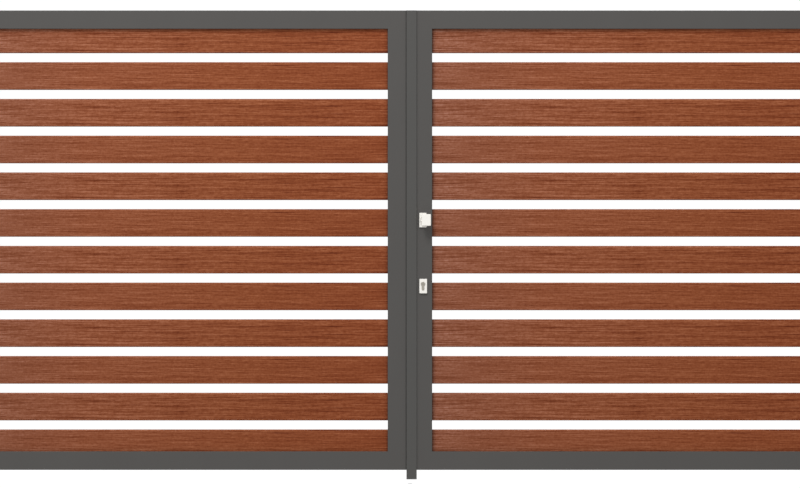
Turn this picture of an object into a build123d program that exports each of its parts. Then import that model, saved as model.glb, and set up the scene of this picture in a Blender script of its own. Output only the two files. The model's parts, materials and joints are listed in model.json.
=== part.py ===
from build123d import *

import os
from math import cos, radians, sin

# A double-leaf garden gate: two aluminium frames with wood-effect slats, hung between pillars.
#
# X runs along the gate, +Y into the garden, +Z up. The origin is on the ground, midway between
# the pillars and in the middle plane of the closed leaves. Both leaves open into the garden.
# All sizes are in millimetres. `side` is -1 for the left leaf and +1 for the right leaf.

# ---- leaves -------------------------------------------------------------------------------
opening_width = 3600.0
pillar_gap = 25.0
meeting_gap = 30.0
leaf_height = 1800.0
ground_gap = 55.0

member_width = 72.0
member_depth = 50.0
member_wall = 2.5
member_radius = 2.0

slat_count = 12
slat_height = 108.4
slat_pitch = 144.1
slat_thickness = 22.0
slat_wall = 1.6
slat_radius = 4.5
slat_tenon = 15.0
first_slat_drop = 57.7
slot_play = 0.3

cleat_arm = 45.0
cleat_reach = 110.0
cleat_play = 0.2

# ---- closing profile and strip ------------------------------------------------------------
closing_profile_width = 24.0
closing_profile_front = -22.0
closing_profile_back = 22.0
closing_profile_wall = 2.0
strip_width = 40.0
strip_left = -13.6
strip_front = -30.0
strip_back = -25.4
strip_edge_radius = 1.2
strip_foot = 36.5
strip_leg = 18.0
strip_leg_inset = 4.0

# ---- hinges -------------------------------------------------------------------------------
hinge_height = 60.0
hinge_inset = 250.0
hinge_pin_radius = 8.0
hinge_play = 0.06
bush_radius = 10.0
bush_flange = 2.0
bush_flange_play = 0.05
knuckle_radius = 14.0
knuckle_shift = 1.0
hinge_plate_thick = 6.0
hinge_plate_height = 120.0
hinge_plate_width = 60.0
hinge_plate_inset = 6.0
hinge_root_reach = 24.0
hinge_root_past_pin = 8.4
hinge_screw_radius = 4.25
hinge_screw_side = 12.0
hinge_screw_end = 14.0
lug_radius = 13.0
lug_thick = 12.0
pin_rise = 10.0
pin_chamfer = 2.0
bracket_thick = 8.0
bracket_height = 140.0
bracket_shift = 15.0
bracket_bolt_radius = 6.5
bracket_spacing_y = 80.0
bracket_spacing_z = 100.0

# ---- drop bolt and floor socket -----------------------------------------------------------
bolt_rod_radius = 6.0
bolt_rod_play = 0.08
bolt_rod_bottom = 60.0
bolt_rod_length = 520.0
bolt_rod_chamfer = 1.5
bolt_travel = 110.0
bolt_arm_radius = 5.0
bolt_arm_play = 1.0
bolt_arm_reach = 48.0
bolt_knob_radius = 11.0
bolt_knob_gap = 6.0
bolt_knob_fillet = 3.0
guide_height = 40.0
guide_levels = (56.0, 400.0)
socket_depth = 120.0
socket_radius = 14.0
socket_bore = 9.0
socket_flange = 70.0
socket_flange_thick = 4.0

# ---- lock ---------------------------------------------------------------------------------
faceplate_thick = 3.0
faceplate_width = 22.0
faceplate_bottom = 715.0
faceplate_top = 1095.0
strike_thick = 1.5
strike_margin = 15.0
window_half = 6.3
window_margin = 1.0
case_depth_x = 55.0
case_thick = 18.0
case_wall = 1.5
case_bottom = 735.0
case_top = 1075.0
case_profile_play = 0.2
stile_profile_play = 1.0

spindle_x = 50.0
spindle_z = 1033.5
spindle_square = 8.0
spindle_play = 0.05
spindle_outer_end = -7.0
spindle_inner_reach = 16.0
hub_radius = 10.5
hub_half_width = 6.0
hub_rim = 1.5
hub_play = 0.5
hub_arm_width = 7.0
hub_arm = (-5.0, -0.5)
drive_radius = 17.54
drive_pin_radius = 2.5
drive_pin_end = 4.2
half_lift = 20.0

latch_low = 1042.0
latch_high = 1060.0
latch_half_width = 5.5
latch_head_end = 34.0
latch_tail_end = 66.0
latch_tail = (0.6, 3.6)
latch_tail_step = 3.0
latch_slot_half = 2.8
latch_slot = (1046.0, 1055.0)

deadbolt_half_width = 6.0
deadbolt_height = 24.0
deadbolt_rise = 5.0
deadbolt_head_end = 33.0
deadbolt_tail_end = 66.0
deadbolt_tail_half = 4.0
deadbolt_tail_height = 12.0

cylinder_x = 51.0
cylinder_z = 783.0
cylinder_half_length = 35.0
cylinder_radius = 8.5
cylinder_drop = 24.5
cylinder_web = 10.0
plug_radius = 6.5
plug_play = 0.05
cam_radius = 8.0
cam_reach = 14.7
cam_half_thick = 4.0
cam_half_width = 4.9
cam_play = 0.1
cam_slot_low = 15.8
cam_slot_high = 20.0
keyway_half = 1.1
keyway_depth = 12.0
keyway_low = 4.5
keyway_high = 4.0
turn_neck = 4.0
turn_radius = 16.0
turn_depth = 23.0
turn_round_depth = 8.05
turn_half_width = 9.0
turn_fillet = 2.5

# ---- door furniture -----------------------------------------------------------------------
rosette_thick = 8.0
rosette_width = 28.0
rosette_height = 57.0
rosette_corner = 2.0
rosette_chamfer = 1.2
rosette_bore = 8.95
escutcheon_width = 30.0
plate_shift = 1.0
collar_radius = 8.9
collar_gap = 1.0

knob_x = 63.5
knob_width = 36.8
knob_height = 46.0
knob_reach = 58.0
knob_thick = 20.0
knob_edge_radius = 3.0
collar_length = 29.0
neck_root_reach = 16.0
neck_root_size = 19.0
neck_head_width = 24.0
neck_head_height = 30.0
neck_head_shift = 4.0
neck_corner = 3.0

lever_near = 22.0
lever_far = 36.0
lever_tail = 10.0
lever_reach = 115.0
lever_half_height = 10.0
lever_corner = 6.0
lever_edge_radius = 3.0

# ---- how far a cut runs past the face that it goes through ---------------------------------
past = 1.0

# ---- values worked out from the driving dimensions -----------------------------------------
leaves = ((-1, "left"), (1, "right"))
half_gap = meeting_gap / 2
leaf_width = opening_width / 2 - pillar_gap - half_gap
leaf_outer = half_gap + leaf_width
leaf_bottom = ground_gap
leaf_top = leaf_bottom + leaf_height
half_depth = member_depth / 2
slat_start = half_gap + member_width - slat_tenon
slat_end = leaf_outer - member_width + slat_tenon
slat_centres = [
    leaf_top - first_slat_drop - slat_height / 2 - slat_pitch * row for row in range(slat_count)
]
last_slat_rise = slat_centres[-1] - slat_height / 2 - leaf_bottom

closing_profile_right = -half_gap + closing_profile_width
profile_hollow_x = (-half_gap + closing_profile_wall, closing_profile_right - closing_profile_wall)
profile_hollow_y = (
    closing_profile_front + closing_profile_wall,
    closing_profile_back - closing_profile_wall,
)

hinge_x = leaf_outer + knuckle_shift
hinge_y = half_depth + hinge_plate_thick + knuckle_radius
hinge_levels = (leaf_bottom + hinge_inset, leaf_top - hinge_inset)
pillar_x = opening_width / 2

bolt_rod_top = bolt_rod_bottom + bolt_rod_length
bolt_arm_z = bolt_rod_top - 2 * bolt_arm_radius

faceplate_front = half_gap - faceplate_thick
half_case = case_thick / 2
deadbolt_low = cylinder_z + deadbolt_rise
deadbolt_high = deadbolt_low + deadbolt_height
bolt_spans = ((deadbolt_low, deadbolt_high), (latch_low, latch_high))
drive_pin_x = spindle_x + drive_radius * sin(radians(half_lift))
drive_pin_z = spindle_z + drive_radius * cos(radians(half_lift))
escutcheon_z = cylinder_z - cylinder_drop / 2 + cylinder_radius / 2

os.makedirs("parts", exist_ok=True)


# ---- helpers ------------------------------------------------------------------------------
def block(x, y, z, mode=Mode.ADD):
    """Add or cut a box, given its span along each axis."""
    centre = [(span[0] + span[1]) / 2 for span in (x, y, z)]
    size = [abs(span[1] - span[0]) for span in (x, y, z)]
    with Locations(tuple(centre)):
        Box(*size, mode=mode)


def around(middle, half):
    """The span that reaches half each way from its middle."""
    return (middle - half, middle + half)


def spans(side, near, far):
    """The X span of something that lies from near to far from the middle of the gate."""
    return (side * near, side * far)


def facing(y):
    """A plane square to Y at the given depth, with local X along X and local Y up."""
    return Plane.XZ.offset(-y)


def bore_y(x, z, radius, y, mode=Mode.SUBTRACT):
    """A round bar or hole along Y."""
    with BuildSketch(facing(y[0])) as disc:
        with Locations((x, z)):
            Circle(radius)
    extrude(disc.sketch, amount=y[0] - y[1], mode=mode)


def bore_z(x, y, radius, z, mode=Mode.SUBTRACT):
    """A round bar or hole along Z."""
    with BuildSketch(Plane.XY.offset(z[0])) as disc:
        with Locations((x, y)):
            Circle(radius)
    extrude(disc.sketch, amount=z[1] - z[0], mode=mode)


def bore_x(y, z, radius, x, mode=Mode.SUBTRACT):
    """A round bar or hole along X."""
    with BuildSketch(Plane.YZ.offset(x[0])) as disc:
        with Locations((y, z)):
            Circle(radius)
    extrude(disc.sketch, amount=x[1] - x[0], mode=mode)


def mitre(corner_x, corner_z, into_x, into_z, along_x):
    """Cut a frame member at 45 degrees through an outer corner of the leaf."""
    if along_x:
        keep = (into_x, 0, -into_z)
    else:
        keep = (-into_x, 0, into_z)
    split(bisect_by=Plane(origin=(corner_x, 0, corner_z), z_dir=keep), keep=Keep.TOP)


def cylinder_section(grow):
    """The keyhole-shaped section of the lock cylinder, inside a sketch square to Y."""
    with Locations((cylinder_x, cylinder_z)):
        Circle(cylinder_radius + grow)
    with Locations((cylinder_x, cylinder_z - cylinder_drop / 2)):
        SlotOverall(cylinder_drop + 2 * grow, cylinder_web + 2 * grow, rotation=90)


def save(builder, label):
    """Label a finished piece and write its STEP file."""
    builder.part.label = label
    export_step(builder.part, f"parts/{label}.step")


# ---- frames and slats ----------------------------------------------------------------------
def rail(side, outer_z, into_z, slat_edge):
    """A mitred top or bottom rail, slotted along its inner wall for the slat that it holds."""
    inner_z = outer_z + into_z * member_width
    with BuildPart() as piece:
        with BuildSketch(Plane.YZ.offset(half_gap if side > 0 else -leaf_outer)):
            with Locations((0, (outer_z + inner_z) / 2)):
                RectangleRounded(member_depth, member_width, member_radius)
                Rectangle(
                    member_depth - 2 * member_wall,
                    member_width - 2 * member_wall,
                    mode=Mode.SUBTRACT,
                )
        extrude(amount=leaf_width)
        for near, into in ((half_gap, side), (leaf_outer, -side)):
            mitre(side * near, outer_z, into, into_z, along_x=True)
        block(
            spans(side, half_gap, leaf_outer),
            around(0, slat_thickness / 2 + slot_play),
            (outer_z + into_z * (slat_edge - slot_play), inner_z + into_z * past),
            mode=Mode.SUBTRACT,
        )
    return piece


def stile(side, near, inner, into):
    """A mitred upright, with a slot through its inner wall for the end of every slat."""
    with BuildPart() as piece:
        with BuildSketch(Plane.XY.offset(leaf_bottom)):
            with Locations((side * (near + inner) / 2, 0)):
                RectangleRounded(member_width, member_depth, member_radius)
                Rectangle(
                    member_width - 2 * member_wall,
                    member_depth - 2 * member_wall,
                    mode=Mode.SUBTRACT,
                )
        extrude(amount=leaf_height)
        mitre(side * near, leaf_top, into, -1, along_x=False)
        mitre(side * near, leaf_bottom, into, 1, along_x=False)
        with BuildSketch(Plane.YZ.offset(side * inner - into * 2 * member_wall)):
            with Locations([(0, z) for z in slat_centres]):
                RectangleRounded(
                    slat_thickness + 2 * slot_play, slat_height + 2 * slot_play, slat_radius
                )
        extrude(amount=into * 3 * member_wall, mode=Mode.SUBTRACT)
    return piece


def slat(side, centre_z):
    """One hollow slat with rounded edges."""
    with BuildPart() as piece:
        with BuildSketch(Plane.YZ.offset(slat_start if side > 0 else -slat_end)):
            with Locations((0, centre_z)):
                RectangleRounded(slat_thickness, slat_height, slat_radius)
                RectangleRounded(
                    slat_thickness - 2 * slat_wall,
                    slat_height - 2 * slat_wall,
                    slat_radius - slat_wall,
                    mode=Mode.SUBTRACT,
                )
        extrude(amount=slat_end - slat_start)
    return piece


def corner_cleats(side):
    """The four angle blocks inside the mitred corners of one leaf."""
    inset = member_wall + cleat_play
    thick = around(0, half_depth - inset)
    with BuildPart() as piece:
        for near, into in ((half_gap, 1), (leaf_outer, -1)):
            for outer_z, up in ((leaf_bottom, 1), (leaf_top, -1)):
                x0 = near + into * inset
                z0 = outer_z + up * inset
                block(spans(side, x0, x0 + into * cleat_arm), thick, (z0, z0 + up * cleat_reach))
                block(spans(side, x0, x0 + into * cleat_reach), thick, (z0, z0 + up * cleat_arm))
    return piece


for side, word in leaves:
    save(rail(side, leaf_top, -1, first_slat_drop), f"{word}_top_rail")
    save(rail(side, leaf_bottom, 1, last_slat_rise), f"{word}_bottom_rail")
    save(stile(side, leaf_outer, leaf_outer - member_width, -side), f"{word}_hinge_stile")
    for row, centre_z in enumerate(slat_centres, 1):
        save(slat(side, centre_z), f"{word}_slat_{row:02d}")
    save(corner_cleats(side), f"{word}_corner_cleats")

save(stile(-1, half_gap, half_gap + member_width, -1), "left_meeting_stile")

with BuildPart() as lock_stile:
    add(stile(1, half_gap, half_gap + member_width, 1).part)
    block(
        (half_gap - past, half_gap + member_wall + past),
        around(0, half_case + slot_play),
        (case_bottom - slot_play, case_top + slot_play),
        mode=Mode.SUBTRACT,
    )
    bore_y(spindle_x, spindle_z, hub_radius + hub_play, around(0, half_depth + past))
    with BuildSketch(facing(-half_depth - past)):
        cylinder_section(stile_profile_play)
    extrude(amount=-member_depth - 2 * past, mode=Mode.SUBTRACT)
save(lock_stile, "right_meeting_stile")


# ---- closing profile and strip of the left leaf --------------------------------------------
with BuildPart() as closing_profile:
    block(
        (-half_gap, closing_profile_right),
        (closing_profile_front, closing_profile_back),
        (leaf_bottom, leaf_top),
    )
    block(profile_hollow_x, profile_hollow_y, (leaf_bottom, leaf_top), mode=Mode.SUBTRACT)
    for low, high in bolt_spans:
        block(
            (profile_hollow_x[1] - past, closing_profile_right + past),
            around(0, window_half),
            (low - window_margin, high + window_margin),
            mode=Mode.SUBTRACT,
        )
    arm_slot_half = bolt_arm_radius + bolt_arm_play
    block(
        around(0, arm_slot_half),
        (profile_hollow_y[1] - past, closing_profile_back + past),
        (bolt_arm_z - arm_slot_half - bolt_travel, bolt_arm_z + arm_slot_half),
        mode=Mode.SUBTRACT,
    )
save(closing_profile, "closing_profile")

with BuildPart() as strike_plate:
    block(
        (closing_profile_right, closing_profile_right + strike_thick),
        around(0, faceplate_width / 2 - 1),
        (faceplate_bottom + strike_margin, faceplate_top - strike_margin),
    )
    for low, high in bolt_spans:
        block(
            (closing_profile_right - past, closing_profile_right + strike_thick + past),
            around(0, window_half),
            (low - window_margin, high + window_margin),
            mode=Mode.SUBTRACT,
        )
save(strike_plate, "strike_plate")

with BuildPart() as closing_strip:
    with BuildSketch(Plane.XY.offset(leaf_bottom - strip_foot)):
        with Locations((strip_left + strip_width / 2, (strip_front + strip_back) / 2)):
            Rectangle(strip_width, strip_back - strip_front)
        fillet(vertices().group_by(Axis.Y)[0], radius=strip_edge_radius)
    extrude(amount=leaf_height + strip_foot)
    leg_left = -half_gap + strip_leg_inset
    block((leg_left, leg_left + strip_leg), (strip_back, closing_profile_front), (leaf_bottom, leaf_top))
save(closing_strip, "closing_strip")


# ---- hinges -------------------------------------------------------------------------------
def hinge_plates(side):
    """The two leaf plates of one leaf, each with its welded knuckle."""
    plate_far = leaf_outer - hinge_plate_inset
    plate_near = plate_far - hinge_plate_width
    screw_rise = hinge_plate_height / 2 - hinge_screw_end
    with BuildPart() as piece:
        for level in hinge_levels:
            knuckle = around(level, hinge_height / 2)
            block(
                spans(side, plate_near, plate_far),
                (half_depth, half_depth + hinge_plate_thick),
                around(level, hinge_plate_height / 2),
            )
            block(
                spans(side, plate_far - hinge_root_reach, hinge_x),
                (half_depth + hinge_plate_thick, hinge_y + hinge_root_past_pin),
                knuckle,
            )
            bore_z(side * hinge_x, hinge_y, knuckle_radius, knuckle, Mode.ADD)
            bore_z(side * hinge_x, hinge_y, bush_radius, knuckle)
            for screw_z in around(level, screw_rise):
                for screw_x in (plate_near + hinge_screw_side, plate_far - hinge_screw_side):
                    bore_y(side * screw_x, screw_z, hinge_screw_radius, (half_depth - past, hinge_y))
    return piece


def hinge_bushes(side):
    """The flanged nylon bushes in the knuckles of one leaf."""
    with BuildPart() as piece:
        for level in hinge_levels:
            low, high = around(level, hinge_height / 2)
            flange_low = low - bush_flange
            bore_z(side * hinge_x, hinge_y, bush_radius, (low, high), Mode.ADD)
            bore_z(side * hinge_x, hinge_y, lug_radius, (flange_low, low), Mode.ADD)
            bore_z(side * hinge_x, hinge_y, hinge_pin_radius + hinge_play, (flange_low, high))
    return piece


def pillar_bracket(side, level):
    """A plate bolted to the pillar, with a welded lug and an upright pin."""
    knuckle_low, knuckle_high = around(level, hinge_height / 2)
    lug_top = knuckle_low - bush_flange - bush_flange_play
    lug_low = lug_top - lug_thick
    plate_y = hinge_y - bracket_shift
    with BuildPart() as piece:
        block(
            spans(side, pillar_x - bracket_thick, pillar_x),
            around(plate_y, bracket_height / 2),
            around(level, bracket_height / 2),
        )
        block(
            spans(side, hinge_x, pillar_x - bracket_thick),
            around(hinge_y, lug_radius),
            (lug_low, lug_top),
        )
        bore_z(side * hinge_x, hinge_y, lug_radius, (lug_low, lug_top), Mode.ADD)
        pin_span = (lug_low, knuckle_high + pin_rise)
        bore_z(side * hinge_x, hinge_y, hinge_pin_radius, pin_span, Mode.ADD)
        chamfer(edges().filter_by(GeomType.CIRCLE).sort_by(Axis.Z)[-1], length=pin_chamfer)
        for bolt_y in around(plate_y, bracket_spacing_y / 2):
            for bolt_z in around(level, bracket_spacing_z / 2):
                hole = spans(side, pillar_x - bracket_thick - past, pillar_x + past)
                bore_x(bolt_y, bolt_z, bracket_bolt_radius, hole)
    return piece


for side, word in leaves:
    save(hinge_plates(side), f"{word}_hinge_plates")
    save(hinge_bushes(side), f"{word}_hinge_bushes")
    with BuildPart() as pillar_brackets:
        for level in hinge_levels:
            add(pillar_bracket(side, level).part)
    save(pillar_brackets, f"{word}_pillar_brackets")


# ---- drop bolt and floor socket ------------------------------------------------------------
with BuildPart() as drop_bolt_guides:
    for level in guide_levels:
        guide_span = (level, level + guide_height)
        block(profile_hollow_x, profile_hollow_y, guide_span)
        bore_z(0, 0, bolt_rod_radius + bolt_rod_play, guide_span)
save(drop_bolt_guides, "drop_bolt_guides")

with BuildPart() as drop_bolt:
    bore_z(0, 0, bolt_rod_radius, (bolt_rod_bottom, bolt_rod_top), Mode.ADD)
    chamfer(edges().filter_by(GeomType.CIRCLE), length=bolt_rod_chamfer)
    bore_y(0, bolt_arm_z, bolt_arm_radius, (0, bolt_arm_reach), Mode.ADD)
    knob_span = (closing_profile_back + bolt_knob_gap, bolt_arm_reach)
    bore_y(0, bolt_arm_z, bolt_knob_radius, knob_span, Mode.ADD)
    fillet(edges().filter_by(GeomType.CIRCLE).group_by(Axis.Y)[-1], radius=bolt_knob_fillet)
save(drop_bolt, "drop_bolt")

with BuildPart() as floor_socket:
    flange = around(0, socket_flange / 2)
    block(flange, flange, (-socket_flange_thick, 0))
    bore_z(0, 0, socket_radius, (-socket_depth, -socket_flange_thick), Mode.ADD)
    bore_z(0, 0, socket_bore, (-socket_depth + socket_flange_thick, 0))
save(floor_socket, "floor_socket")


# ---- lock of the right leaf ----------------------------------------------------------------
with BuildPart() as lock_faceplate:
    block(
        (faceplate_front, half_gap),
        around(0, faceplate_width / 2),
        (faceplate_bottom, faceplate_top),
    )
    for low, high in bolt_spans:
        block(
            (faceplate_front - past, half_gap + past),
            around(0, window_half),
            (low - slot_play, high + slot_play),
            mode=Mode.SUBTRACT,
        )
save(lock_faceplate, "lock_faceplate")

with BuildPart() as lock_case:
    block((half_gap, half_gap + case_depth_x), around(0, half_case), (case_bottom, case_top))
    block(
        (half_gap - past, half_gap + case_depth_x - case_wall),
        around(0, half_case - case_wall),
        (case_bottom + case_wall, case_top - case_wall),
        mode=Mode.SUBTRACT,
    )
    bore_y(spindle_x, spindle_z, hub_radius - hub_rim, around(0, half_case + past))
    with BuildSketch(facing(-half_case - past)):
        cylinder_section(case_profile_play)
    extrude(amount=-case_thick - 2 * past, mode=Mode.SUBTRACT)
save(lock_case, "lock_case")

with BuildPart() as latch_bolt:
    block((faceplate_front, latch_head_end), around(0, latch_half_width), (latch_low, latch_high))
    block(
        (latch_head_end, latch_tail_end),
        latch_tail,
        (latch_low + latch_tail_step, latch_high - latch_tail_step),
    )
    block(around(drive_pin_x, latch_slot_half), (0, half_case), latch_slot, mode=Mode.SUBTRACT)
save(latch_bolt, "latch_bolt")

with BuildPart() as lock_hub:
    bore_y(spindle_x, spindle_z, hub_radius, around(0, hub_half_width), Mode.ADD)
    with BuildSketch(facing(hub_arm[0])):
        with Locations(((spindle_x + drive_pin_x) / 2, (spindle_z + drive_pin_z) / 2)):
            SlotCenterToCenter(drive_radius, hub_arm_width, rotation=90 - half_lift)
    extrude(amount=hub_arm[0] - hub_arm[1])
    bore_y(drive_pin_x, drive_pin_z, drive_pin_radius, (hub_arm[0], drive_pin_end), Mode.ADD)
    block(
        around(spindle_x, spindle_square / 2 + spindle_play),
        around(0, hub_half_width + past),
        around(spindle_z, spindle_square / 2 + spindle_play),
        mode=Mode.SUBTRACT,
    )
save(lock_hub, "lock_hub")

with BuildPart() as handle_spindle:
    block(
        around(spindle_x, spindle_square / 2),
        (spindle_outer_end, half_depth + spindle_inner_reach),
        around(spindle_z, spindle_square / 2),
    )
save(handle_spindle, "handle_spindle")

with BuildPart() as deadbolt:
    block(
        (faceplate_front, deadbolt_head_end),
        around(0, deadbolt_half_width),
        (deadbolt_low, deadbolt_high),
    )
    block(
        (deadbolt_head_end, deadbolt_tail_end),
        around(0, deadbolt_tail_half),
        (deadbolt_high - deadbolt_tail_height, deadbolt_high),
    )
save(deadbolt, "deadbolt")

with BuildPart() as cylinder_body:
    with BuildSketch(facing(-cylinder_half_length)):
        cylinder_section(0)
    extrude(amount=-2 * cylinder_half_length)
    block(
        around(cylinder_x, cam_slot_high),
        around(0, cam_half_width + cam_play),
        (cylinder_z - cam_slot_low, cylinder_z + cam_slot_high),
        mode=Mode.SUBTRACT,
    )
    bore_y(cylinder_x, cylinder_z, plug_radius + plug_play, around(0, cylinder_half_length + past))
save(cylinder_body, "cylinder_body")

with BuildPart() as cylinder_plug:
    cam_span = around(0, cam_half_width)
    turn_start = cylinder_half_length + turn_neck
    turn_end = turn_start + turn_depth
    bore_y(cylinder_x, cylinder_z, plug_radius, (-cylinder_half_length, turn_start), Mode.ADD)
    bore_y(cylinder_x, cylinder_z, cam_radius, cam_span, Mode.ADD)
    block(around(cylinder_x, cam_half_thick), cam_span, (cylinder_z - cam_reach, cylinder_z))
    block(
        around(cylinder_x, keyway_half),
        (-cylinder_half_length - past, -cylinder_half_length + keyway_depth),
        (cylinder_z - keyway_low, cylinder_z + keyway_high),
        mode=Mode.SUBTRACT,
    )
    bore_y(cylinder_x, cylinder_z, turn_radius, (turn_start, turn_end), Mode.ADD)
    fillet(edges().filter_by(GeomType.CIRCLE).group_by(Axis.Y)[-1], radius=turn_fillet)
    for way in (-1, 1):
        block(
            (cylinder_x + way * turn_half_width, cylinder_x + way * (turn_radius + past)),
            (turn_start + turn_round_depth, turn_end + past),
            around(cylinder_z, turn_radius + past),
            mode=Mode.SUBTRACT,
        )
save(cylinder_plug, "cylinder_plug")


# ---- door furniture ------------------------------------------------------------------------
def rosette(x, z, width, out):
    """A rectangular plate with a softened front, against the stile face that looks out along Y."""
    with BuildPart() as piece:
        block(
            around(x, width / 2),
            (out * half_depth, out * (half_depth + rosette_thick)),
            around(z, rosette_height / 2),
        )
        fillet(edges().filter_by(Axis.Y), radius=rosette_corner)
        front_face = faces().sort_by(Axis.Y)[0 if out < 0 else -1]
        chamfer(front_face.edges(), length=rosette_chamfer)
    return piece


for out, word in ((-1, "outer"), (1, "inner")):
    with BuildPart() as pierced_rosette:
        add(rosette(spindle_x + plate_shift, spindle_z, rosette_width, out).part)
        bore_y(spindle_x, spindle_z, rosette_bore, (0, out * (half_depth + rosette_thick + past)))
    save(pierced_rosette, f"{word}_rosette")

    with BuildPart() as pierced_escutcheon:
        add(rosette(cylinder_x + plate_shift, escutcheon_z, escutcheon_width, out).part)
        with BuildSketch(facing(0)):
            cylinder_section(case_profile_play)
        extrude(amount=-out * (half_depth + rosette_thick + past), mode=Mode.SUBTRACT)
    save(pierced_escutcheon, f"{word}_escutcheon")

knob_front = -half_depth - knob_reach
knob_back = knob_front + knob_thick

with BuildPart() as knob_head:
    block(
        around(knob_x, knob_width / 2),
        (knob_front, knob_back),
        around(spindle_z, knob_height / 2),
    )
    fillet(edges(), radius=knob_edge_radius)

with BuildPart() as outer_knob:
    collar_end = -half_depth - collar_gap
    bore_y(spindle_x, spindle_z, collar_radius, (collar_end - collar_length, collar_end), Mode.ADD)
    with BuildSketch(facing(-half_depth - neck_root_reach)):
        with Locations((spindle_x, spindle_z)):
            RectangleRounded(neck_root_size, neck_root_size, neck_corner)
    with BuildSketch(facing(knob_back)):
        with Locations((knob_x - neck_head_shift, spindle_z)):
            RectangleRounded(neck_head_width, neck_head_height, neck_corner)
    loft()
    add(knob_head.part)
save(outer_knob, "outer_knob")

with BuildPart() as lever_grip:
    block(
        (spindle_x - lever_tail, spindle_x + lever_reach),
        (half_depth + lever_near, half_depth + lever_far),
        around(spindle_z, lever_half_height),
    )
    fillet(edges().filter_by(Axis.Y), radius=lever_corner)
    fillet(faces().sort_by(Axis.Y)[-1].edges(), radius=lever_edge_radius)

with BuildPart() as inner_lever:
    collar_span = (half_depth + collar_gap, half_depth + lever_far)
    bore_y(spindle_x, spindle_z, collar_radius, collar_span, Mode.ADD)
    add(lever_grip.part)
    block(
        around(spindle_x, spindle_square / 2 + spindle_play),
        (half_depth, half_depth + spindle_inner_reach),
        around(spindle_z, spindle_square / 2 + spindle_play),
        mode=Mode.SUBTRACT,
    )
save(inner_lever, "inner_lever")
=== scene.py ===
import json
from math import cos, pi, radians, sin

import bmesh
import bpy
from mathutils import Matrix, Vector


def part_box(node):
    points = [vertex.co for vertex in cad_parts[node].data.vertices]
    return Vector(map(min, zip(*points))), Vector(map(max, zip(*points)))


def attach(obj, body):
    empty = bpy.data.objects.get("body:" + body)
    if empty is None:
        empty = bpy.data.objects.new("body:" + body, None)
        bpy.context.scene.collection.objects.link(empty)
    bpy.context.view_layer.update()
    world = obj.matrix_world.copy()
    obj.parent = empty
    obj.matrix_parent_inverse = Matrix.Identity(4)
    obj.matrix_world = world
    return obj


# A double-leaf garden gate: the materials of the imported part, the small fasteners and caps that
# it leaves out, and a camera, light and ground. All in metres, with X along the closed gate,
# +Y into the garden and +Z up. `side` is -1 for the left leaf and +1 for the right leaf.

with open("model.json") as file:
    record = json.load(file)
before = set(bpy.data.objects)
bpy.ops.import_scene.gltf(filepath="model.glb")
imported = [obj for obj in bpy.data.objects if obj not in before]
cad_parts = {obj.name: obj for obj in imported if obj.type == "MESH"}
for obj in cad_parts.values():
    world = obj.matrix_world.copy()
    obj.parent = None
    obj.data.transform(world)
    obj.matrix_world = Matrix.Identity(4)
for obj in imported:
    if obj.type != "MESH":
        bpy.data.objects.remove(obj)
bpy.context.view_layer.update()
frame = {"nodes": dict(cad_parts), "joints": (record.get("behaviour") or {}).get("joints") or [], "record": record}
nodes = frame["nodes"]
record = frame["record"]
scene = bpy.context.scene

SIDES = {"left": -1, "right": 1}
WHITE = (1.0, 1.0, 1.0, 1.0)

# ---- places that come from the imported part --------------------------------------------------
left_low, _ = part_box("left_top_rail")
rail_low, rail_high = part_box("right_top_rail")
stile_low, stile_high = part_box("right_meeting_stile")
slat_low, slat_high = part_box("right_slat_02")
next_low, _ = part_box("right_slat_03")
last_low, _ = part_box("right_slat_12")

slat_pitch = slat_low.z - next_low.z
slat_height = slat_high.z - slat_low.z
half_slat_gap = (slat_pitch - slat_height) / 2
stile_width = stile_high.x - stile_low.x

bracket_mounts = [mount for mount in record["mounts"] if mount["kind"] == "bolt_pattern"]
bracket_levels = sorted({mount["pos_m"][2] for mount in bracket_mounts})
pivots = {joint["child"]: joint["pos_m"] for joint in frame["joints"] if joint["type"] == "hinge"}


# ---- materials ------------------------------------------------------------------------------
def linear(red, green, blue):
    """A linear colour from 0-255 display values."""
    shares = [channel / 255 for channel in (red, green, blue)]
    return [s / 12.92 if s <= 0.04045 else ((s + 0.055) / 1.055) ** 2.4 for s in shares] + [1.0]


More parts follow.
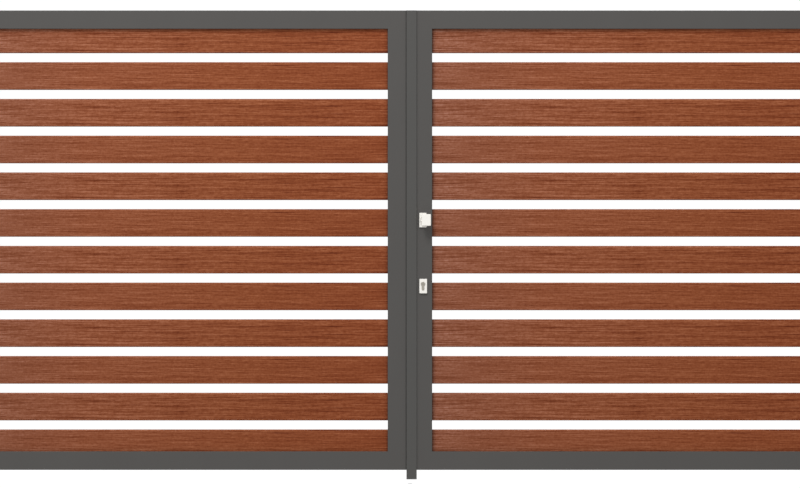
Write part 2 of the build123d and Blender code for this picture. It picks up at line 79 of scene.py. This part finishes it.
class Finish:
    """A node material, with short calls for the nodes that it needs."""

    def __init__(self, name, **sockets):
        self.material = bpy.data.materials.new(name)
        self.material.use_nodes = True
        self.tree = self.material.node_tree
        self.tree.nodes.clear()
        self.shader = self.add("ShaderNodeBsdfPrincipled", sockets)
        output = self.add("ShaderNodeOutputMaterial", {})
        self.tree.links.new(self.shader.outputs["BSDF"], output.inputs["Surface"])
        self.place = self.add("ShaderNodeTexCoord", {}).outputs["Object"]

    def add(self, kind, inputs, **settings):
        node = self.tree.nodes.new(kind)
        for key, value in settings.items():
            setattr(node, key, value)
        for key, value in inputs.items():
            self.feed(node.inputs[key], value)
        return node

    def feed(self, socket, value):
        """Link a socket to another, or set its value."""
        if isinstance(value, bpy.types.NodeSocket):
            self.tree.links.new(value, socket)
        else:
            socket.default_value = value

    def surface(self, **inputs):
        """Feed the shader's own sockets, named with _ for a space."""
        for key, value in inputs.items():
            self.feed(self.shader.inputs[key.replace("_", " ")], value)

    def maths(self, operation, first, second=0.0, third=0.0):
        node = self.add("ShaderNodeMath", {0: first, 1: second, 2: third}, operation=operation)
        return node.outputs["Value"]

    def product(self, factors):
        total = factors[0]
        for factor in factors[1:]:
            total = self.maths("MULTIPLY", total, factor)
        return total

    def joined(self, x, y, z):
        return self.add("ShaderNodeCombineXYZ", {"X": x, "Y": y, "Z": z}).outputs["Vector"]

    def noise(self, source, scale, detail=2.0, rough=0.5):
        """Noise with its own scale along each axis."""
        scaled = self.add("ShaderNodeMapping", {"Vector": source, "Scale": scale})
        values = {
            "Vector": scaled.outputs["Vector"],
            "Scale": 1.0,
            "Detail": detail,
            "Roughness": rough,
        }
        return self.add("ShaderNodeTexNoise", values).outputs["Fac"]

    def remap(self, value, low, high, to_low, to_high):
        values = {
            "Value": value,
            "From Min": low,
            "From Max": high,
            "To Min": to_low,
            "To Max": to_high,
        }
        return self.add("ShaderNodeMapRange", values).outputs["Result"]

    def ramp(self, value, stops):
        node = self.add("ShaderNodeValToRGB", {"Fac": value})
        spots = node.color_ramp.elements
        while len(spots) < len(stops):
            spots.new(0.5)
        for spot, (position, colour) in zip(spots, stops):
            spot.position = position
            spot.color = colour
        return node.outputs["Color"]

    def tone(self, colour, gain, powers=(1.0, 1.0, 1.0)):
        """The colour times a gain, raised to its own power in each channel."""
        gains = [gain if power == 1.0 else self.maths("POWER", gain, power) for power in powers]
        grey = self.add("ShaderNodeCombineColor", dict(zip(("Red", "Green", "Blue"), gains)))
        node = self.add(
            "ShaderNodeMix",
            {0: 1.0, 6: colour, 7: grey.outputs["Color"]},
            data_type="RGBA",
            blend_type="MULTIPLY",
        )
        return node.outputs[2]

    def bump(self, height, strength, distance):
        values = {"Height": height, "Strength": strength, "Distance": distance}
        self.surface(Normal=self.add("ShaderNodeBump", values).outputs["Normal"])


# most of a noise pattern lies between these two values
NOISE_LOW = 0.3
NOISE_HIGH = 0.7


def coated(name, colour, roughness, grain, spread, relief, **sockets):
    """A coating or moulded skin: slight unevenness of tone, and a fine texture that breaks up its gloss."""
    finish = Finish(name, **sockets)
    cloud = finish.noise(finish.place, (7.0, 7.0, 3.0), 2.0)
    speck = finish.noise(finish.place, (grain, grain, grain), 3.0, 0.6)
    mixed = finish.maths("MULTIPLY_ADD", speck, 0.5, finish.maths("MULTIPLY", cloud, 0.5))
    gain = finish.remap(mixed, NOISE_LOW, NOISE_HIGH, 1.0 - spread, 1.0 + spread)
    gloss = finish.remap(mixed, NOISE_LOW, NOISE_HIGH, roughness - 0.06, roughness + 0.06)
    finish.surface(Base_Color=finish.tone(colour, gain), Roughness=gloss)
    finish.bump(speck, 0.5, relief)
    return finish.material


def brushed(name, colour, roughness, scale):
    """A drawn or brushed metal, with fine lines along its length."""
    finish = Finish(name, Metallic=1.0)
    lines = finish.noise(finish.place, scale, 3.0, 0.7)
    gain = finish.remap(lines, NOISE_LOW, NOISE_HIGH, 0.9, 1.06)
    gloss = finish.remap(lines, NOISE_LOW, NOISE_HIGH, roughness - 0.08, roughness + 0.08)
    finish.surface(Base_Color=finish.tone(colour, gain), Roughness=gloss)
    finish.bump(lines, 0.3, 0.00003)
    return finish.material


# ---- wood effect ----------------------------------------------------------------------------
leaf_repeat = rail_low.x - left_low.x
print_length = slat_high.x - stile_low.x
far_stile = rail_high.x - stile_width - stile_low.x
# rows are counted from far enough below the gate that none has a negative number
ROWS_BELOW = 20
# how far the second version of the print lies from the first in the noise
VERSION_STEP = 3.7

# scale along, across and up, then detail and roughness, of each layer of the print
SWAY = ((2.2, 1.0, 9.0), 1.0)
BANDS = ((0.4, 1.0, 150.0), 2.0, 0.5)
GRAIN = ((5.0, 1.0, 300.0), 2.0, 0.6)
FIBRE = ((42.0, 1.0, 560.0), 3.0, 0.65)
PORES = ((90.0, 1.0, 1100.0), 1.0, 0.5)
MOTTLE = ((120.0, 1.0, 90.0), 2.0, 0.6)
# how much the grain, the fibre and the mottle lighten and darken the print
GRAIN_DEPTH = 0.74
FIBRE_DEPTH = 0.60
MOTTLE_DEPTH = 0.20
PORE_GAIN = 0.70
SWAY_HEIGHT = 0.012
STREAK_SWAY = 0.04

WOOD_TINTS = [
    (0.0, linear(141, 86, 63)),
    (0.3, linear(143, 80, 51)),
    (0.65, linear(140, 75, 43)),
    (1.0, linear(137, 70, 38)),
]
# blue changes more than red between the light and the dark grain
GRAIN_POWERS = (0.60, 1.0, 1.45)
# share along the print, half length, share up the row, half height, gain
WOOD_STREAKS = [
    (0.838, 0.050, 0.858, 0.020, 0.50),
    (0.925, 0.035, 0.863, 0.016, 0.60),
    (0.760, 0.060, 0.835, 0.022, 1.16),
    (0.350, 0.280, 0.165, 0.022, 1.20),
    (0.640, 0.160, 0.150, 0.018, 1.22),
    (0.190, 0.110, 0.660, 0.035, 0.84),
]
# a stretch of the row's height, as shares from its foot, and the gains at its two ends: painted shade along each
# slat's foot, a painted highlight along its top edge, and painted shade that makes each slat lighter at the top
# than at the foot
FOOT_PAINTED_SHADE = (0.125, 0.145, 0.86, 1.0)
HEAD_PAINTED_HIGHLIGHT = (0.825, 0.873, 1.0, 1.15)
ROW_PAINTED_SHADE = (0.13, 0.87, 0.95, 1.05)
# painted shade: the print darkens down the leaf to this gain at the lowest slat, and beside each stile over a
# short width, standing in for the stiles' shadow and the shade in the corners
LOWEST_PAINTED_SHADE = 0.93
NEAR_STILE_PAINTED_SHADE = 0.58
NEAR_STILE_SHADE_WIDTH = 0.016
FAR_STILE_PAINTED_SHADE = 0.66
FAR_STILE_SHADE_WIDTH = 0.007


def wood_streak(finish, share, up, middle, half_length, level, half_height, strength):
    """Gain of one soft streak, an ellipse drawn out along the grain."""
    far = finish.maths("DIVIDE", finish.maths("SUBTRACT", share, middle), half_length)
    off = finish.maths("DIVIDE", finish.maths("SUBTRACT", up, level), half_height)
    reach = finish.maths("MULTIPLY_ADD", far, far, finish.maths("MULTIPLY", off, off))
    return finish.remap(reach, 0.2, 1.0, strength, 1.0)


def wood_effect():
    """Wood-print foil on the slats: one print length per leaf, in two versions that alternate by row, with painted
    shade and painted highlights on the slats' edges, down the leaf and beside the stiles.
    """
    finish = Finish("wood_effect", **{"Specular IOR Level": 0.14, "IOR": 1.45})
    split = finish.add("ShaderNodeSeparateXYZ", {"Vector": finish.place})
    x, z = split.outputs["X"], split.outputs["Z"]
    along = finish.maths("WRAP", finish.maths("SUBTRACT", x, stile_low.x), leaf_repeat, 0.0)
    rows_start = slat_low.z - ROWS_BELOW * slat_pitch - half_slat_gap
    rows = finish.maths("DIVIDE", finish.maths("SUBTRACT", z, rows_start), slat_pitch)
    row = finish.maths("FLOOR", rows)
    inside = finish.maths("SUBTRACT", rows, row)
    height = finish.maths("MULTIPLY", inside, slat_pitch)
    version = finish.maths("MULTIPLY", finish.maths("MODULO", row, 2.0), VERSION_STEP)

    placed = finish.joined(along, version, height)
    sway = finish.noise(placed, *SWAY)
    bent = finish.joined(along, version, finish.maths("MULTIPLY_ADD", sway, SWAY_HEIGHT, height))
    bands = finish.noise(bent, *BANDS)
    grain = finish.noise(bent, *GRAIN)
    fibre = finish.noise(bent, *FIBRE)
    pores = finish.noise(bent, *PORES)
    mottle = finish.noise(placed, *MOTTLE)

    gains = [finish.remap(bands, NOISE_LOW, NOISE_HIGH, 0.88, 1.12)]
    for layer, depth in ((grain, GRAIN_DEPTH), (fibre, FIBRE_DEPTH), (mottle, MOTTLE_DEPTH)):
        gains.append(finish.remap(layer, 0.25, 0.75, 1.0 - depth, 1.0 + depth))
    gains.append(finish.remap(pores, 0.58, 0.70, 1.0, PORE_GAIN))
    # painted shade at each slat's foot, a painted highlight on its top edge, and painted shade falling from the
    # top of each slat to its foot
    gains += [finish.remap(inside, *edge) for edge in (ROW_PAINTED_SHADE, HEAD_PAINTED_HIGHLIGHT, FOOT_PAINTED_SHADE)]
    share = finish.maths("DIVIDE", along, print_length)
    drift = finish.maths("MULTIPLY", finish.maths("SUBTRACT", sway, 0.5), STREAK_SWAY)
    up = finish.maths("ADD", inside, drift)
    gains += [wood_streak(finish, share, up, *streak) for streak in WOOD_STREAKS]

    near_shade_end = stile_width + NEAR_STILE_SHADE_WIDTH
    far_shade_start = far_stile - FAR_STILE_SHADE_WIDTH
    # painted shade: darker down the leaf and in the corners beside each stile
    painted_shades = [
        finish.remap(z, last_low.z, slat_high.z, LOWEST_PAINTED_SHADE, 1.0),
        finish.remap(along, stile_width, near_shade_end, NEAR_STILE_PAINTED_SHADE, 1.0),
        finish.remap(along, far_shade_start, far_stile, 1.0, FAR_STILE_PAINTED_SHADE),
    ]
    tint_with_painted_shade = finish.tone(finish.ramp(share, WOOD_TINTS), finish.product(painted_shades))
    finish.surface(
        Base_Color=finish.tone(tint_with_painted_shade, finish.product(gains), GRAIN_POWERS),
        Roughness=finish.remap(fibre, NOISE_LOW, NOISE_HIGH, 0.62, 0.46),
    )
    finish.bump(fibre, 0.35, 0.00012)
    return finish.material


# ---- the finish of each slot ----------------------------------------------------------------
DULL = {"Specular IOR Level": 0.2}
HALF_DULL = {"Specular IOR Level": 0.4}
LACQUERED = {"Coat Weight": 0.15, "Coat Roughness": 0.25}

# colour, roughness, grain of the texture, spread of the tone, depth of the texture, other sockets
COATS = {
    "frame_coat": (linear(83, 81, 79), 0.5, 900.0, 0.03, 0.00004, DULL),
    "hinge_coat": (linear(78, 77, 76), 0.42, 700.0, 0.05, 0.00004, HALF_DULL),
    "strip_pvc": (linear(82, 81, 79), 0.45, 400.0, 0.02, 0.00004, DULL),
    "satin_white": (linear(246, 243, 236), 0.34, 1500.0, 0.015, 0.00002, LACQUERED),
    "black_nylon": (linear(38, 38, 39), 0.55, 1200.0, 0.08, 0.00004, {}),
}
# colour, roughness, scale of the brushed lines along each axis
METALS = {
    "stainless": (linear(190, 190, 188), 0.34, (900.0, 900.0, 14.0)),
    "zinc_steel": (linear(178, 181, 186), 0.42, (240.0, 240.0, 60.0)),
    "bare_aluminium": (linear(196, 198, 200), 0.45, (500.0, 500.0, 9.0)),
    "nickel_brass": (linear(196, 190, 178), 0.3, (700.0, 90.0, 700.0)),
}

MATERIALS = {"wood_effect": wood_effect()}
for slot_name, (*values, sockets) in COATS.items():
    MATERIALS[slot_name] = coated(slot_name, *values, **sockets)
for slot_name, values in METALS.items():
    MATERIALS[slot_name] = brushed(slot_name, *values)

# every carried-over node takes the finish of its slot in the record
for part in record["subparts"]:
    skin = nodes[part["node"]].data.materials
    skin.clear()
    skin.append(MATERIALS[part["material_slot"]])


# ---- outlines and heads of the small pieces --------------------------------------------------
RING = 24
ANGLES = [2 * pi * k / RING for k in range(RING)]
SMOOTH_ANGLE = radians(32)


def round_ring(radius):
    return [(radius * cos(a), radius * sin(a)) for a in ANGLES]


def hex_ring(apothem):
    """A hexagon sampled at the same angles as round_ring."""
    reaches = [apothem / cos((a % (pi / 3)) - pi / 6) for a in ANGLES]
    return [(reach * cos(a), reach * sin(a)) for reach, a in zip(reaches, ANGLES)]


def box_ring(half_x, half_y):
    """A rectangle sampled at the same angles as round_ring."""
    grows = [1 / max(abs(cos(a)), abs(sin(a))) for a in ANGLES]
    return [(half_x * cos(a) * grow, half_y * sin(a) * grow) for grow, a in zip(grows, ANGLES)]


def band(mesh, low, high):
    """Faces between two rings of vertices."""
    for k in range(RING):
        n = (k + 1) % RING
        mesh.faces.new((low[k], low[n], high[n], high[k]))


def put(name, mesh):
    """Turn a bmesh into an object in the scene."""
    data = bpy.data.meshes.new(name)
    mesh.to_mesh(data)
    mesh.free()
    piece = bpy.data.objects.new(name, data)
    scene.collection.objects.link(piece)
    return piece


def spun(name, body, slot, rings, places, axis):
    """Closed pieces built from rings of points stacked along an axis, one at each place."""
    axis = Vector(axis)
    across = Vector((0, 0, 1)) if abs(axis.z) < 0.5 else Vector((1, 0, 0))
    up = axis.cross(across)
    mesh = bmesh.new()
    for place in places:
        loops = []
        for points, height in rings:
            centre = Vector(place) + axis * height
            loops.append([mesh.verts.new(centre + across * u + up * v) for u, v in points])
        for low, high in zip(loops, loops[1:]):
            band(mesh, low, high)
        mesh.faces.new(loops[0][::-1])
        mesh.faces.new(loops[-1])
    bmesh.ops.recalc_face_normals(mesh, faces=mesh.faces)
    piece = put(name, mesh)
    piece.data.shade_smooth()
    piece.data.set_sharp_from_angle(angle=SMOOTH_ANGLE)
    piece.data.materials.append(MATERIALS[slot])
    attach(piece, body)


def button_head(radius, height):
    """A rounded screw head with a hexagon socket."""
    socket = 0.45 * radius
    return [
        (round_ring(radius), 0.0),
        (round_ring(radius), 0.35 * height),
        (round_ring(0.90 * radius), 0.70 * height),
        (round_ring(0.72 * radius), 0.93 * height),
        (round_ring(0.58 * radius), height),
        (hex_ring(socket), height),
        (hex_ring(0.92 * socket), 0.35 * height),
    ]


def flush_head(radius, proud):
    """A sunk screw head that stands a little proud, with a hexagon socket."""
    return [
        (round_ring(radius), -0.0004),
        (round_ring(radius), 0.3 * proud),
        (round_ring(0.85 * radius), proud),
        (hex_ring(0.45 * radius), proud),
        (hex_ring(0.40 * radius), -0.0003),
    ]


def washered_bolt(flat, height):
    """A hexagon bolt head on a washer; flat is half the width across the flats."""
    washer = 0.0022
    return [
        (round_ring(1.30 * flat), 0.0),
        (round_ring(1.30 * flat), 0.8 * washer),
        (round_ring(1.24 * flat), washer),
        (hex_ring(flat), washer),
        (hex_ring(flat), washer + 0.82 * height),
        (round_ring(0.94 * flat), washer + height),
        (round_ring(0.70 * flat), washer + height),
        (round_ring(0.66 * flat), washer + 0.94 * height),
    ]


def domed_cap(radius, height):
    """A cap with a straight side and a domed top."""
    return [
        (round_ring(0.97 * radius), 0.0),
        (round_ring(radius), 0.04 * height),
        (round_ring(radius), 0.55 * height),
        (round_ring(0.93 * radius), 0.75 * height),
        (round_ring(0.74 * radius), 0.90 * height),
        (round_ring(0.40 * radius), 0.98 * height),
        (round_ring(0.12 * radius), height),
    ]


# ---- hinge screws, anchor bolts and pin caps -------------------------------------------------
PLATE_THICK = 0.006
PLATE_SCREW = (0.0064, 0.0034)
PLATE_SCREW_INSETS = (0.012, 0.048)
PLATE_SCREW_RISE = 0.046
BRACKET_THICK = 0.008
ANCHOR_BOLT = (0.009, 0.0062)
PIN_CAP = (0.0102, 0.0115)
PIN_CAP_RISE = 0.032


def hinge_fixings(word, side):
    plate_low, plate_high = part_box(f"{word}_hinge_plates")
    inner_x = plate_low.x if side > 0 else plate_high.x
    screws = [
        (inner_x + side * inset, plate_low.y + PLATE_THICK, level + rise)
        for level in bracket_levels
        for inset in PLATE_SCREW_INSETS
        for rise in (-PLATE_SCREW_RISE, PLATE_SCREW_RISE)
    ]
    head = button_head(*PLATE_SCREW)
    spun(f"{word}_hinge_screws", f"{word}_leaf", "stainless", head, screws, (0, 1, 0))

    bolts = []
    for mount in bracket_mounts:
        x, y, z = mount["pos_m"]
        half_y, half_z = [mount["dims"][f"spacing_{row}_mm"] / 2 / 1000 for row in "xy"]
        if x * side > 0:
            bolts += [
                (x - side * BRACKET_THICK, y + dy, z + dz)
                for dy in (-half_y, half_y)
                for dz in (-half_z, half_z)
            ]
    head = washered_bolt(*ANCHOR_BOLT)
    spun(f"{word}_bracket_bolts", "pillar_fixings", "zinc_steel", head, bolts, (-side, 0, 0))

    pin_x, pin_y, _ = pivots[f"{word}_leaf"]
    caps = [(pin_x, pin_y, level + PIN_CAP_RISE) for level in bracket_levels]
    spun(f"{word}_pin_caps", "pillar_fixings", "black_nylon", domed_cap(*PIN_CAP), caps, (0, 0, 1))


for word, side in SIDES.items():
    hinge_fixings(word, side)

# ---- screws of the lock, the strike plate, the guides and the socket --------------------------
FACEPLATE_SCREW = (0.0045, 0.0003)
FACEPLATE_SCREW_END = 0.013
STRIKE_SCREW = (0.0042, 0.0003)
STRIKE_SCREW_FOOT = 0.014
STRIKE_SCREW_HEAD = 0.010
GUIDE_SCREW = (0.0036, 0.0020)
GUIDE_SCREW_INSET = 0.0045
GUIDE_SCREW_END = 0.020
SOCKET_SCREW = (0.0045, 0.0004)
SOCKET_SCREW_REACH = 0.026


def plate_screws():
    low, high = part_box("lock_faceplate")
    levels = (low.z + FACEPLATE_SCREW_END, high.z - FACEPLATE_SCREW_END)
    places = [(low.x, 0.0, z) for z in levels]
    head = flush_head(*FACEPLATE_SCREW)
    spun("faceplate_screws", "right_leaf", "stainless", head, places, (-1, 0, 0))

    low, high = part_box("strike_plate")
    levels = (low.z + STRIKE_SCREW_FOOT, (low.z + high.z) / 2, high.z - STRIKE_SCREW_HEAD)
    places = [(high.x, 0.0, z) for z in levels]
    head = flush_head(*STRIKE_SCREW)
    spun("strike_screws", "left_leaf", "stainless", head, places, (1, 0, 0))


def guide_screws(profile_back):
    low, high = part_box("drop_bolt_guides")
    places = [
        (x, profile_back, z)
        for x in (low.x + GUIDE_SCREW_INSET, high.x - GUIDE_SCREW_INSET)
        for z in (low.z + GUIDE_SCREW_END, high.z - GUIDE_SCREW_END)
    ]
    head = button_head(*GUIDE_SCREW)
    spun("guide_screws", "left_leaf", "stainless", head, places, (0, 1, 0))


PROFILE_WALL = 0.002
CAP_PLAY = 0.0002
# inset from the cap's edge and depth below the profile's top, from its skirt to its dished middle
CAP_STEPS = [(0.0, 0.0030), (0.0, 0.0010), (0.0008, 0.0003), (0.0040, 0.0003), (0.0045, 0.0012)]


def profile_top_cap(low, high):
    """The plug in the open top of the closing profile."""
    middle = (low + high) / 2
    half_x, half_y = [(high[i] - low[i]) / 2 - PROFILE_WALL - CAP_PLAY for i in (0, 1)]
    rings = [(box_ring(half_x - inset, half_y - inset), -depth) for inset, depth in CAP_STEPS]
    place = (middle.x, middle.y, high.z)
    spun("profile_top_cap", "left_leaf", "black_nylon", rings, [place], (0, 0, 1))


def socket_screws():
    _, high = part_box("floor_socket")
    reach = (-SOCKET_SCREW_REACH, SOCKET_SCREW_REACH)
    places = [(x, y, high.z) for x in reach for y in reach]
    head = flush_head(*SOCKET_SCREW)
    spun("socket_screws", "pillar_fixings", "stainless", head, places, (0, 0, 1))


profile_low, profile_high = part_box("closing_profile")
plate_screws()
guide_screws(profile_high.y)
profile_top_cap(profile_low, profile_high)
socket_screws()

# ---- set screws in the collars of the lever and the knob --------------------------------------
COLLAR_RADIUS = 0.0089
SET_SCREW = (0.0022, 0.0003)
LEVER_SCREW_OUT = 0.006
KNOB_SCREW_OUT = 0.004


def set_screw(name, body, y):
    spindle_x, _, spindle_z = pivots["inner_handle"]
    place = (spindle_x, y, spindle_z - COLLAR_RADIUS)
    spun(name, body, "stainless", flush_head(*SET_SCREW), [place], (0, 0, -1))


_, inner_rosette_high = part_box("inner_rosette")
outer_rosette_low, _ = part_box("outer_rosette")
set_screw("lever_set_screw", "inner_handle", inner_rosette_high.y + LEVER_SCREW_OUT)
set_screw("knob_set_screw", "right_leaf", outer_rosette_low.y - KNOB_SCREW_OUT)

# ---- camera ---------------------------------------------------------------------------------
VIEW_X = -0.039
VIEW_Z = 0.940
VIEW_WIDTH = 3.134
VIEW_DISTANCE = 15.0
SENSOR = 36.0
VIEW_END = 200.0


def front_camera():
    """A long lens square on to the street side of the closed gate."""
    lens = bpy.data.cameras.new("camera")
    lens.sensor_width = SENSOR
    lens.lens = SENSOR * VIEW_DISTANCE / VIEW_WIDTH
    lens.clip_end = VIEW_END
    camera = bpy.data.objects.new("camera", lens)
    camera.location = (VIEW_X, stile_low.y - VIEW_DISTANCE, VIEW_Z)
    camera.rotation_euler = (radians(90), 0, 0)
    scene.collection.objects.link(camera)
    return camera


scene.camera = front_camera()

# ---- light ----------------------------------------------------------------------------------
LIGHT_BELOW = 0.56
LIGHT_ABOVE = 0.84
SEEN_BACKDROP = 1.02
GATE_MIDDLE = (0.0, 0.0, 1.0)


def studio():
    """White light from all round, weaker from below, which the camera sees as plain white."""
    world = bpy.data.worlds.new("studio")
    world.use_nodes = True
    tree = world.node_tree
    background = tree.nodes["Background"]
    background.inputs["Color"].default_value = WHITE
    direction = tree.nodes.new("ShaderNodeTexCoord")
    parts = tree.nodes.new("ShaderNodeSeparateXYZ")
    fall = tree.nodes.new("ShaderNodeMapRange")
    fall.inputs["From Min"].default_value = -1.0
    fall.inputs["To Min"].default_value = LIGHT_BELOW
    fall.inputs["To Max"].default_value = LIGHT_ABOVE
    ray = tree.nodes.new("ShaderNodeLightPath")
    level = tree.nodes.new("ShaderNodeMapRange")
    level.inputs["To Max"].default_value = SEEN_BACKDROP
    tree.links.new(direction.outputs["Generated"], parts.inputs["Vector"])
    tree.links.new(parts.outputs["Z"], fall.inputs["Value"])
    tree.links.new(fall.outputs["Result"], level.inputs["To Min"])
    tree.links.new(ray.outputs["Is Camera Ray"], level.inputs["Value"])
    tree.links.new(level.outputs["Result"], background.inputs["Strength"])
    return world


def soft_box(name, place, size, power):
    """A square area light that faces the middle of the gate."""
    lamp = bpy.data.lights.new(name, "AREA")
    lamp.shape = "SQUARE"
    lamp.size = size
    lamp.energy = power
    holder = bpy.data.objects.new(name, lamp)
    holder.location = place
    facing = Vector(GATE_MIDDLE) - Vector(place)
    holder.rotation_euler = facing.to_track_quat("-Z", "Y").to_euler()
    scene.collection.objects.link(holder)


scene.view_settings.view_transform = "Standard"
scene.view_settings.look = "None"
scene.world = studio()
soft_box("key", (-1.8, -5.0, 6.3), 2.6, 270.0)
soft_box("garden_side", (2.2, 5.2, 5.6), 3.0, 210.0)

# ---- floor ----------------------------------------------------------------------------------
FLOOR_REACH = 60.0
FLOOR_RISE = 0.0006
SOCKET_OPENING = 0.0105
FLOOR_GLOW = 0.95
FLOOR_TONES = [(0.3, (0.10, 0.10, 0.10, 1.0)), (0.7, (0.12, 0.12, 0.12, 1.0))]


def floor_finish():
    """Pale ground that looks white under the backdrop."""
    finish = Finish("floor", Roughness=0.9, **{"Specular IOR Level": 0.0})
    cloud = finish.noise(finish.place, (0.6, 0.6, 0.6), 2.0)
    finish.surface(
        Base_Color=finish.ramp(cloud, FLOOR_TONES),
        Emission_Color=WHITE,
        Emission_Strength=FLOOR_GLOW,
    )
    return finish.material


def floor_sheet():
    """The ground, laid just over the flange of the floor socket and open round its bore."""
    mesh = bmesh.new()
    rings = [box_ring(FLOOR_REACH, FLOOR_REACH), round_ring(SOCKET_OPENING)]
    outer, inner = [[mesh.verts.new((x, y, FLOOR_RISE)) for x, y in ring] for ring in rings]
    band(mesh, outer, inner)
    sheet = put("floor", mesh)
    sheet.data.materials.append(floor_finish())
    sheet.visible_diffuse = False
    sheet.visible_glossy = False


floor_sheet()
